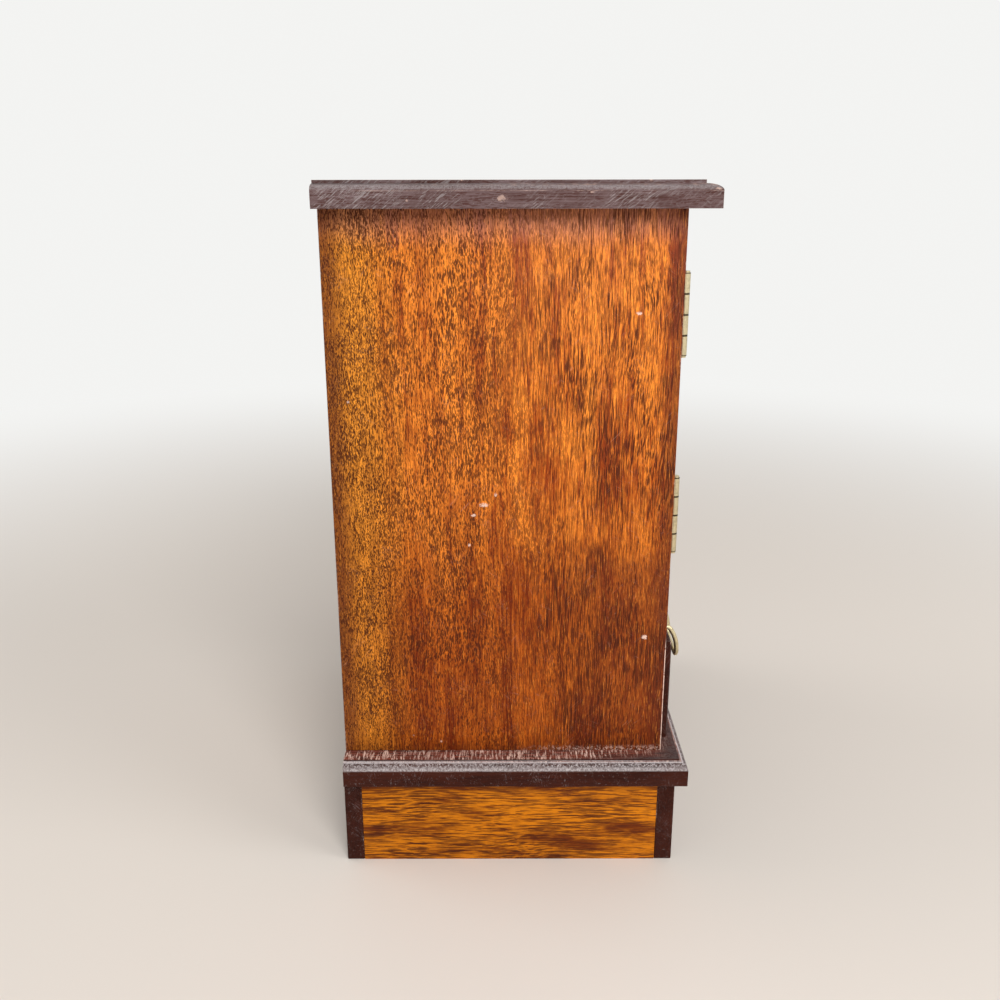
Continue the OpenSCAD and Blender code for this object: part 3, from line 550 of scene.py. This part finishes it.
def side_material(name, c, seed=0.0, chips=(), panel=None):
    """Oiled red brown wood with open pores. A side has its zones, and a panel has a grimy rim with
    painted shade.
    """
    mat, g, shader, place = start_material(name)
    grain = grouped(g, "grain", grain_group, Place=along(g, place, "Z", seed), Pore_Width=0.25,
                    Pore_Length=1.25, Pore_Amount=0.86, Wander=1.0)
    long = grouped(g, "grain", grain_group, Place=along(g, place, "Z", seed + 1), Pore_Width=0.20,
                   Pore_Length=5.5, Pore_Amount=0.80, Wander=1.0)
    y = g.parts(place)[1]
    front = g.span(g.math("MULTIPLY_ADD", grain["Figure"], 30.0, y), 36.0, -6.0, 0.25, 1.0)
    pores = g.most(g.mul(grain["Pores"], g.math("SUBTRACT", 1.12, g.mul(front, 0.75))),
                   g.mul(long["Pores"], front))
    tone = g.math("ADD", g.mul(grain["Bands"], 0.38), g.mul(grain["Fibres"], 0.42))
    tone = g.math("ADD", tone, g.mul(grain["Figure"], 0.20))
    colour = g.mix(g.span(tone, 0.40, 0.59), c.side_red, c.side_orange)
    if panel:
        # painted shade and dirt round the panel's rim, where it meets the frame
        rim = rim_shade_and_dirt(g, panel, place, grain["Figure"])
        colour = g.mix(g.mul(rim, 0.80), colour, c.side_dark)
    else:
        colour, pores = side_zones(g, c, grain, place, seed, colour, pores)
    streak = g.span(grain["Bands"], 0.56, 0.70)
    colour = g.mix(g.mul(streak, 0.35), colour, c.side_dark)
    lines = g.noise(g.stretch(along(g, place, "Z", seed + 4), (3.4, 3.4, 0.22)), 1.0, 3.0, 0.75)
    colour = g.mix(g.mul(g.span(lines, 0.51, 0.64), 0.72), colour, c.side_dark)
    pale = [min(1.0, v * 1.25 + 0.015) for v in c.side_orange]
    colour = g.mix(g.mul(g.span(lines, 0.44, 0.30), 0.45), colour, pale)
    colour = g.mix(g.mul(pores, 0.92), colour, c.pore)
    wear = grouped(g, "wear", wear_group, Place=place, Arris=arris_of(g), Scratch_Turn=1.1,
                   Edge_Wear=0.5, Scratches=0.10, Dust=0.05)
    colour = g.mix(wear["Scratch"], colour, c.dust)
    colour = g.mix(wear["Speck"], colour, c.dust)
    colour = g.mix(g.mul(wear["Rub"], 0.6), colour, c.dust)
    if not panel:
        colour = g.mix(g.mul(side_chips(g, place, chips), 0.9), colour, c.dust)
    link(g, colour, shader, "Base Color")
    gloss = g.span(g.math("ADD", g.mul(grain["Fibres"], 0.5), g.mul(pores, 0.5)),
                   0.1, 0.8, 0.34, 0.60)
    link(g, gloss, shader, "Roughness")
    shader.inputs["Specular IOR Level"].default_value = OILED_SPECULAR
    relief = g.math("SUBTRACT", g.mul(grain["Fibres"], 0.25), pores)
    bump(g, shader, relief, 0.05, 0.55)
    return mat


def amber_material(name, c):
    """Amber plinth wood with dark streaks along Y, knot-like dark clouds, and painted shade under
    the base's overhang.
    """
    mat, g, shader, place = start_material(name)
    grain = grouped(g, "grain", grain_group, Place=along(g, place, "Y", 2.0), Pore_Width=0.34,
                    Pore_Length=7.5, Pore_Amount=0.80, Wander=1.1)
    cloud = g.noise(g.stretch(along(g, place, "Y", 5.0), (0.20, 0.20, 0.045)), 1.0, 4.0, 0.65)
    tone = g.math("ADD", g.mul(grain["Bands"], 0.45), g.mul(cloud, 0.55))
    colour = g.mix(g.span(tone, 0.38, 0.53), c.amber_dark, c.amber)
    lines = g.noise(g.stretch(along(g, place, "Y", 8.0), (1.7, 1.7, 0.08)), 1.0, 4.0, 0.70)
    colour = g.mix(g.mul(g.span(lines, 0.52, 0.58), 0.85), colour, c.amber_dark)
    colour = g.mix(g.mul(g.span(lines, 0.60, 0.66), 0.80), colour, c.pore)
    colour = g.mix(g.mul(g.span(grain["Fibres"], 0.46, 0.34), 0.55), colour, c.amber_dark)
    colour = g.mix(g.mul(grain["Pores"], 0.80), colour, c.pore)
    wear = grouped(g, "wear", wear_group, Place=place, Arris=arris_of(g), Scratch_Turn=0.7,
                   Edge_Wear=0.4, Scratches=0.12, Dust=0.05)
    colour = g.mix(wear["Speck"], colour, c.dust)
    # painted shade under the base board's overhang, darker towards the plinth's top
    z = g.parts(place)[2]
    shade = g.span(g.math("MULTIPLY_ADD", grain["Figure"], 8.0, z), 29.0, 35.5)
    colour = g.mix(g.mul(shade, 0.55), colour, c.amber_dark)
    link(g, colour, shader, "Base Color")
    link(g, g.span(grain["Fibres"], 0.3, 0.7, 0.30, 0.48), shader, "Roughness")
    shader.inputs["Specular IOR Level"].default_value = OILED_SPECULAR
    bump(g, shader, g.math("SUBTRACT", g.mul(grain["Fibres"], 0.3), grain["Pores"]), 0.04, 0.5)
    return mat


def base_flat(g, c, place, up, fibres, colour):
    """The base's flat top: a redder colour, and a mask of pale ticks across its grain."""
    level = g.span(up, 0.93, 0.99)
    red = g.mix(g.span(fibres, 0.40, 0.62), c.dark_red, [v * 4.4 for v in c.dark_red])
    colour = g.mix(level, colour, red)
    across = g.noise(g.stretch(place, (0.22, 1.7, 1.0)), 1.0, 4.0, 0.75)
    ticks = g.mul(level, g.span(across, 0.50, 0.60))
    ticks = g.mul(ticks, g.span(g.noise(place, 0.12, 3.0), 0.30, 0.62, 0.35, 1.0))
    return colour, ticks


def base_rounds(g, place, up):
    """A mask down the base's stepped edge, by depth in mm: a thin painted highlight on the arris,
    speckle, and a soft painted highlight.
    """
    drop = g.math("SUBTRACT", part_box("base_board")[1].z / MM, g.parts(place)[2])
    grit = g.noise(place, 1.5, 5.0, 0.8)
    foot = g.mul(g.span(drop, 1.0, 2.4), g.span(drop, 3.25, 2.7))
    line = g.mul(g.span(drop, 0.46, 0.52), g.span(drop, 0.86, 0.70))
    bright = g.most(g.mul(foot, g.span(grit, 0.38, 0.60, 0.25, 0.85)),
                    g.mul(line, g.span(grit, 0.36, 0.50, 0.25, 1.0)))
    speckle = g.mul(g.mul(g.span(drop, 0.7, 0.9), g.span(drop, 2.2, 1.4)),
                    g.span(grit, 0.50, 0.57, 0.0, 0.8))
    bright = g.mul(g.most(bright, speckle), g.span(up, 0.995, 0.97))
    return g.mul(bright, g.span(up, 0.02, 0.10))


def hatching(g, place):
    """A mask of slanting rubbed lines, in clouds, on the edge of the top."""
    there = g.stretch(place, (1.0, 2.8, 0.28), (math.radians(-52), 0, 0))
    return g.mul(g.span(g.noise(there, 1.0, 3.0, 0.7), 0.50, 0.66),
                 g.span(g.noise(place, 0.05, 3.0), 0.36, 0.60))


def dark_material(name, c, axis, seed, base, light, wear_by=0.6, dust_and_sheen=0.3, turn=0.8,
                  is_base=False, chips=(), seen="YZ", hatch=0.0):
    """Dark stained wood: worn arrises, fine scratches, grey dust with painted sheen on slopes,
    dust on flats, and painted highlight down the base's round edge.
    """
    mat, g, shader, place = start_material(name)
    grain = grouped(g, "grain", grain_group, Place=along(g, place, axis, seed), Pore_Width=0.30,
                    Pore_Length=1.8, Pore_Amount=0.70, Wander=0.6)
    tone = g.math("ADD", g.mul(grain["Bands"], 0.30), g.mul(grain["Figure"], 0.35))
    tone = g.math("ADD", tone, g.mul(grain["Fibres"], 0.35))
    colour = g.mix(g.span(tone, 0.36, 0.64), base, light)
    colour = g.mix(g.mul(grain["Pores"], 0.60), colour, c.pore)
    wear = grouped(g, "wear", wear_group, Place=place, Arris=arris_of(g), Scratch_Turn=turn,
                   Edge_Wear=wear_by, Scratches=0.6, Dust=1.0)
    normal = g.parts(g.add("TexCoord").outputs["Normal"])
    up = normal[2]
    # grey dust with a painted sheen on faces that slope up, not on flats
    slope = g.mul(g.span(up, 0.15, 0.75), g.span(up, 0.999, 0.93))
    film_and_sheen = g.mul(slope, g.span(g.noise(place, 2.2, 4.0, 0.7), 0.34, 0.62))
    colour = g.mix(g.mul(film_and_sheen, 0.15 if is_base else dust_and_sheen * 0.9), colour, c.film_and_sheen)
    if is_base:
        colour, flat = base_flat(g, c, place, up, grain["Fibres"], colour)
    else:
        flat = g.mul(g.span(up, 0.90, 0.99), wear["Dust"])
    colour = g.mix(g.mul(flat, dust_and_sheen), colour, c.dust)
    if is_base:
        # painted highlight and speckle down the base's round edge, in a brightened grey
        colour = g.mix(g.mul(base_rounds(g, place, up), 0.80), colour, [v * 1.65 for v in c.film_and_sheen])
    if hatch:
        colour = g.mix(g.mul(hatching(g, place), hatch), colour, c.film_and_sheen)
    stray = g.mul(g.span(g.noise(place, 1.1, 5.0, 0.8), 0.58, 0.70), 0.35)
    colour = g.mix(g.mul(stray, g.span(up, 0.2, -0.1, 0.0, 1.0)), colour, c.film_and_sheen)
    colour = g.mix(g.mul(wear["Scratch"], 0.45), colour, c.film_and_sheen)
    colour = g.mix(g.mul(wear["Speck"], 0.7), colour, c.dust)
    colour = g.mix(g.mul(wear["Rub"], 0.65), colour, c.dust)
    if chips:
        looks = normal[1] if seen == "XZ" else normal[0]
        facing = g.span(g.math("ABSOLUTE", looks), 0.55, 0.75)
        chipped = g.mul(marks(g, place, chips, seen), facing)
        colour = g.mix(g.mul(chipped, 0.45), colour, c.dust)
    link(g, colour, shader, "Base Color")
    rough = g.math("ADD", g.span(grain["Fibres"], 0.3, 0.7, 0.34, 0.50), g.mul(flat, 0.3))
    link(g, rough, shader, "Roughness")
    shader.inputs["Specular IOR Level"].default_value = DARK_SPECULAR
    relief = g.math("ADD", g.mul(grain["Fibres"], 0.3), g.mul(flat, 0.5))
    relief = g.math("SUBTRACT", relief, g.math("ADD", wear["Scratch"], grain["Pores"]))
    bump(g, shader, relief, 0.05, 0.5)
    return mat


def plain_material(name, c, axis, seed):
    """Unfinished pale wood with soft grain."""
    mat, g, shader, place = start_material(name)
    grain = grouped(g, "grain", grain_group, Place=along(g, place, axis, seed), Pore_Width=0.35,
                    Pore_Length=3.0, Pore_Amount=0.55, Wander=1.2)
    colour = g.mix(g.span(grain["Bands"], 0.38, 0.62), [v * 0.72 for v in c.plain], c.plain)
    colour = g.mix(g.mul(g.span(grain["Fibres"], 0.5, 0.7), 0.35), colour, c.amber)
    colour = g.mix(g.mul(grain["Pores"], 0.5), colour, c.side_dark)
    wear = grouped(g, "wear", wear_group, Place=place, Arris=0.0, Scratch_Turn=0.4,
                   Edge_Wear=0.0, Scratches=0.2, Dust=0.2)
    colour = g.mix(wear["Dust"], colour, c.dust)
    link(g, colour, shader, "Base Color")
    link(g, g.span(grain["Fibres"], 0.3, 0.7, 0.62, 0.78), shader, "Roughness")
    bump(g, shader, g.math("SUBTRACT", g.mul(grain["Fibres"], 0.5), grain["Pores"]), 0.04, 0.5)
    return mat


def metal_material(name, c, colour, dull, tarnish, rough=0.32, gaps=None):
    """Metal with fine turning lines, duller blotches and painted shade in the gaps of a hinge."""
    mat, g, shader, place = start_material(name)
    blotch = g.noise(place, 0.55, 5.0, 0.7)
    fine = g.noise(g.stretch(place, (3.0, 3.0, 0.6)), 1.0, 3.0, 0.7)
    shade = g.mix(g.mul(g.span(blotch, 0.45, 0.68), tarnish), colour, dull)
    shade = g.mix(g.mul(g.span(fine, 0.5, 0.75), 0.35), shade, [v * 0.75 for v in colour])
    if gaps:
        start, pitch = gaps
        z = g.parts(place)[2]
        turns = g.math("DIVIDE", g.math("SUBTRACT", z, start), pitch)
        near = g.mul(g.math("ABSOLUTE", g.math("SUBTRACT", turns, g.math("ROUND", turns))), pitch)
        # painted shade in the gaps between the knuckles of a hinge
        shade = g.mix(g.span(near, 0.42, 0.16), shade, c.gap_shade)
    link(g, shade, shader, "Base Color")
    shader.inputs["Metallic"].default_value = 1.0
    link(g, g.span(g.math("ADD", g.mul(blotch, 0.6), g.mul(fine, 0.4)), 0.35, 0.7,
                   rough, rough + 0.22), shader, "Roughness")
    bump(g, shader, fine, 0.015, 0.4)
    return mat


MATERIALS = {}


def material(name):
    """The finish of that name, made when it is first asked for."""
    if name in MATERIALS:
        return MATERIALS[name]
    c = bpy.context.scene.cabinet_colours
    kind, _, rest = name.partition(" ")
    if kind == "side":
        seed, chips = (0.0, SIDE_CHIPS) if rest == "left" else (3.0, ())
        mat = side_material(name, c, seed, chips)
    elif kind == "panel":
        mat = side_material(name, c, 5.0 + len(rest), panel=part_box(rest + "_door_panel"))
    elif kind == "amber":
        mat = amber_material(name, c)
    elif kind == "top":
        mat = dark_material(name, c, "Y", 1.0, [v * 0.9 for v in c.dark_red], c.top_grey,
                            wear_by=0.8, dust_and_sheen=0.55, turn=0.9, chips=TOP_CHIPS, hatch=0.55)
    elif kind == "base":
        mat = dark_material(name, c, "Y", 4.0, c.dark_brown, c.dark_red, wear_by=0.95, dust_and_sheen=1.0,
                            turn=0.5, is_base=True)
    elif kind == "drawer":
        corner = (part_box("left_side")[0].x / MM + 6.6, 78.6, 1.5, 1.0)
        mat = dark_material(name, c, "X", 9.0, c.dark_brown, c.dark_red, wear_by=0.9, dust_and_sheen=0.22,
                            chips=(corner, (20.0, 43.0, 2.0, 0.6)), seen="XZ")
    elif kind == "dark":
        mat = dark_material(name, c, rest, 6.0, c.dark_brown, c.dark_red)
    elif kind == "plain":
        mat = plain_material(name, c, rest, 2.0)
    elif kind == "brass":
        gaps = None
        if rest:
            lo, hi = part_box("left_" + rest + "_hinge_plate")
            gaps = (lo.z / MM, (hi.z - lo.z) / MM / 4)
        mat = metal_material(name, c, c.brass, c.brass_dull, 0.6, gaps=gaps)
    else:
        mat = metal_material(name, c, c.steel, c.steel_dull, 0.5, rough=0.38)
    MATERIALS[name] = mat
    return mat


# ---------------------------------------------------------------- operators

class CABINET_OT_boards(bpy.types.Operator):
    """Top and base boards, plinth, drawer front and rail with eased and worn edges"""
    bl_idname = "cabinet.boards"
    bl_label = "Dark boards"

    def execute(self, context):
        s = context.scene.cabinet_boards
        for node, axis in DARK_BOARDS.items():
            name = {"top_board": "top", "base_board": "base",
                    "drawer_front": "drawer"}.get(node, "dark " + axis)
            eased_board(node, s.board_ease, s.ease_steps, material(name))
        for side in SIDES:
            for part, axis in DOOR_BOARDS.items():
                eased_board(f"{side}_door_{part}", s.board_ease, s.ease_steps,
                            material("dark " + axis))
        return {"FINISHED"}


class CABINET_OT_sides(bpy.types.Operator):
    """Sides, door panels and the plinth's amber sides"""
    bl_idname = "cabinet.sides"
    bl_label = "Sides and panels"

    def execute(self, context):
        s = context.scene.cabinet_boards
        for side in SIDES:
            eased_board(f"{side}_side", s.board_ease, s.ease_steps, material("side " + side))
            eased_board(f"{side}_door_panel", s.thin_ease, s.ease_steps,
                        material("panel " + side))
            eased_board(f"plinth_{side}", s.thin_ease, s.ease_steps, material("amber"))
        return {"FINISHED"}


class CABINET_OT_inside(bpy.types.Operator):
    """Unfinished boards inside, the back, and the drawer's box"""
    bl_idname = "cabinet.inside"
    bl_label = "Inside boards"

    def execute(self, context):
        s = context.scene.cabinet_boards
        for node, axis in PLAIN_BOARDS.items():
            eased_board(node, s.thin_ease, s.ease_steps, material("plain " + axis))
        return {"FINISHED"}


class CABINET_OT_pulls(bpy.types.Operator):
    """The two bent wire pulls, each one smooth swept wire"""
    bl_idname = "cabinet.pulls"
    bl_label = "Pulls"

    def execute(self, context):
        s = context.scene.cabinet_brass
        for side in SIDES:
            obj = self.wire(side, s.wire_r, s.wire_sides)
            finish_piece(obj, side + "_pull", "brass", material("brass"), side + "_bail")
        return {"FINISHED"}

    def wire(self, side, r, sides):
        """Half of the wire by spin and extrude from its pin, then its mirror."""
        lo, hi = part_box(side + "_bail")
        plate_lo, plate_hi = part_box(side + "_pull_plate")
        mid, face = (lo.x + hi.x) / 2, plate_hi.y
        pivot_z = (plate_lo.z + plate_hi.z) / 2
        arm = (hi.x - lo.x) / 2 - WIRE_MARGIN * MM
        elbow_r, bend_r, sweep_r, corner_r = (v * MM for v in (ELBOW_R, BEND_R, SWEEP_R, CORNER_R))
        pivot_y = face - PIVOT_OUT * MM
        neck_y = pivot_y - elbow_r
        pin_end = arm - elbow_r - PIN_LENGTH * MM
        first, sweep = math.radians(FIRST_BEND), math.radians(SWEEP_BEND)
        bpy.ops.object.select_all(action="DESELECT")
        bpy.ops.mesh.primitive_circle_add(vertices=sides, radius=r, fill_type="NOTHING",
                                          location=(mid + pin_end, pivot_y, pivot_z),
                                          rotation=(0, math.pi / 2, 0))
        obj = bpy.context.active_object
        obj.name = side + "_pull_wire"
        bpy.ops.object.transform_apply(location=True, rotation=True, scale=True)
        edit("VERT")
        bpy.ops.mesh.select_all(action="SELECT")
        reach = arm - elbow_r - pin_end
        bpy.ops.mesh.extrude_region_move(TRANSFORM_OT_translate={"value": (reach, 0, 0)})
        x = mid + arm

        def turn(steps, angle, centre, axis):
            bpy.ops.mesh.spin(steps=steps, angle=angle, center=centre, axis=axis)

        turn(8, math.pi / 2, (mid + arm - elbow_r, neck_y, pivot_z), (0, 0, 1))
        turn(8, -first, (x, neck_y, pivot_z - bend_r), (1, 0, 0))
        out = neck_y + (sweep_r - bend_r) * math.cos(sweep)
        drop = pivot_z - bend_r - (sweep_r - bend_r) * math.sin(sweep)
        turn(10, -sweep, (x, out, drop), (1, 0, 0))
        turn(8, -math.pi / 2, (x - corner_r, out - sweep_r, drop), (0, 1, 0))
        bpy.ops.mesh.extrude_region_move(
            TRANSFORM_OT_translate={"value": (corner_r - arm, 0, 0)})
        done()
        only(obj)
        mod = obj.modifiers.new("other half", "MIRROR")
        mod.use_axis = (True, False, False)
        middle = bpy.data.objects.new("middle", None)
        bpy.context.collection.objects.link(middle)
        middle.location.x = mid
        bpy.context.view_layer.update()
        mod.mirror_object = middle
        mod.merge_threshold = 1e-5
        bpy.ops.object.modifier_apply(modifier=mod.name)
        bpy.data.objects.remove(middle)
        only(obj)
        edit("EDGE")
        bpy.ops.mesh.select_all(action="SELECT")
        bpy.ops.mesh.remove_doubles(threshold=1e-6)
        bpy.ops.mesh.select_all(action="DESELECT")
        bpy.ops.mesh.select_non_manifold(extend=False)
        bpy.ops.mesh.edge_face_add()
        bpy.ops.mesh.select_all(action="SELECT")
        bpy.ops.mesh.normals_make_consistent(inside=False)
        done()
        bpy.ops.object.shade_smooth_by_angle(angle=math.radians(50))
        return obj


class CABINET_OT_fittings(bpy.types.Operator):
    """Finishes of hinges, screws, knobs, plates, posts, pins and magnets"""
    bl_idname = "cabinet.fittings"
    bl_label = "Fittings"

    def execute(self, context):
        for node, obj in NODES.items():
            if obj.hide_render:
                continue
            slot = SLOT_OF[node]
            if "_hinge_plate" in node or "_hinge_leaf" in node:
                name = "brass " + ("upper" if "upper" in node else "lower")
            elif slot == "brass":
                name = "brass"
            elif slot == "steel":
                name = "steel"
            else:
                name = "plain Z"
            only(obj)
            obj.data.materials.clear()
            obj.data.materials.append(material(name))
        return {"FINISHED"}


def sees_backdrop(g):
    """1 for the rays of the camera, of reflections and of glass, which see the plain backdrop."""
    path = g.add("LightPath").outputs
    return g.most(g.most(path["Is Camera Ray"], path["Is Glossy Ray"]),
                  path["Is Transmission Ray"])


class CABINET_OT_stage(bpy.types.Operator):
    """Plain floor, backdrop, lamps and the camera"""
    bl_idname = "cabinet.stage"
    bl_label = "Stage"

    def execute(self, context):
        c = context.scene.cabinet_colours
        scene = context.scene
        scene.view_settings.view_transform = "Standard"
        bpy.ops.object.select_all(action="DESELECT")
        bpy.ops.mesh.primitive_plane_add(size=6.0, location=(0, 0, 0))
        floor = bpy.context.active_object
        floor.name = "floor"
        mat = bpy.data.materials.new("floor")
        mat.use_nodes = True
        shader = mat.node_tree.nodes["Principled BSDF"]
        shader.inputs["Base Color"].default_value = (*c.floor, 1)
        shader.inputs["Roughness"].default_value = 0.75
        g = Graph(mat.node_tree)
        place = g.add("TexCoord").outputs["Object"]
        away = g.add("VectorMath", set_operation="LENGTH", i0=place).outputs["Value"]
        seen = g.mul(g.span(away, *FLOOR_FADE), sees_backdrop(g))
        glow = g.add("Emission", Color=(*c.wall, 1), Strength=1.0)
        blend = g.add("MixShader", i0=seen, i1=shader.outputs[0], i2=glow.outputs[0])
        link_to = mat.node_tree.nodes["Material Output"].inputs["Surface"]
        mat.node_tree.links.new(blend.outputs[0], link_to)
        floor.data.materials.append(mat)
        self.world(scene, c)
        for lamp in LAMPS:
            self.lamp(*lamp)
        self.camera(scene)
        return {"FINISHED"}

    def world(self, scene, c):
        world = scene.world or bpy.data.worlds.new("soft light")
        scene.world = world
        world.use_nodes = True
        world.node_tree.nodes.clear()
        g = Graph(world.node_tree)
        light = g.add("Background", Color=(1, 0.995, 0.985, 1), Strength=SOFT_LIGHT)
        seen = g.add("Background", Color=(*c.wall, 1), Strength=1.0)
        mix = g.add("MixShader", i0=sees_backdrop(g), i1=light.outputs[0], i2=seen.outputs[0])
        g.add("OutputWorld", Surface=mix.outputs[0])

    def lamp(self, name, place, aim, size, watts):
        bpy.ops.object.light_add(type="AREA", location=place)
        lamp = bpy.context.active_object
        lamp.name = name
        lamp.data.shape = "DISK"
        lamp.data.size = size
        lamp.data.energy = watts
        lamp.rotation_euler = (Vector(aim) - Vector(place)).to_track_quat("-Z", "Y").to_euler()

    def camera(self, scene):
        pitch, yaw, roll = (math.radians(v) for v in (CAMERA_PITCH, CAMERA_YAW, CAMERA_ROLL))
        ahead0 = Vector((math.cos(yaw), -math.sin(yaw), 0))
        right0 = Vector((-math.sin(yaw), -math.cos(yaw), 0))
        ahead = ahead0 * math.cos(pitch) - Vector((0, 0, 1)) * math.sin(pitch)
        up0 = ahead0 * math.sin(pitch) + Vector((0, 0, 1)) * math.cos(pitch)
        right = right0 * math.cos(roll) + up0 * math.sin(roll)
        up = up0 * math.cos(roll) - right0 * math.sin(roll)
        bpy.ops.object.camera_add()
        cam = bpy.context.active_object
        cam.name = "camera"
        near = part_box("left_side")[0].x
        cam.matrix_world = Matrix(((right.x, up.x, -ahead.x, near - CAMERA_OUT * MM),
                                   (right.y, up.y, -ahead.y, CAMERA_Y * MM),
                                   (right.z, up.z, -ahead.z, CAMERA_UP * MM),
                                   (0, 0, 0, 1)))
        cam.data.sensor_width = 36.0
        cam.data.lens = CAMERA_LENS
        cam.data.clip_start = 0.01
        cam.data.clip_end = 20.0
        scene.camera = cam


class CABINET_PT_panel(bpy.types.Panel):
    """The steps that dress the cabinet"""
    bl_idname = "CABINET_PT_panel"
    bl_label = "Desktop Cabinet"
    bl_space_type = "VIEW_3D"
    bl_region_type = "UI"
    bl_category = "Cabinet"

    def draw(self, context):
        for step in STEPS:
            self.layout.operator(step.bl_idname)
        for group in (context.scene.cabinet_boards, context.scene.cabinet_brass,
                      context.scene.cabinet_colours):
            for name in group.__annotations__:
                self.layout.prop(group, name)


STEPS = (CABINET_OT_boards, CABINET_OT_sides, CABINET_OT_inside, CABINET_OT_pulls,
         CABINET_OT_fittings, CABINET_OT_stage)
CLASSES = (CabinetBoards, CabinetBrass, CabinetColours) + STEPS + (CABINET_PT_panel,)


def register():
    for cls in CLASSES:
        bpy.utils.register_class(cls)
    bpy.types.Scene.cabinet_boards = bpy.props.PointerProperty(type=CabinetBoards)
    bpy.types.Scene.cabinet_brass = bpy.props.PointerProperty(type=CabinetBrass)
    bpy.types.Scene.cabinet_colours = bpy.props.PointerProperty(type=CabinetColours)


def unregister():
    del bpy.types.Scene.cabinet_boards
    del bpy.types.Scene.cabinet_brass
    del bpy.types.Scene.cabinet_colours
    for cls in reversed(CLASSES):
        bpy.utils.unregister_class(cls)


def main():
    register()
    bpy.ops.cabinet.boards()
    bpy.ops.cabinet.sides()
    bpy.ops.cabinet.inside()
    bpy.ops.cabinet.pulls()
    bpy.ops.cabinet.fittings()
    bpy.ops.cabinet.stage()


if __name__ == "__main__":
    main()
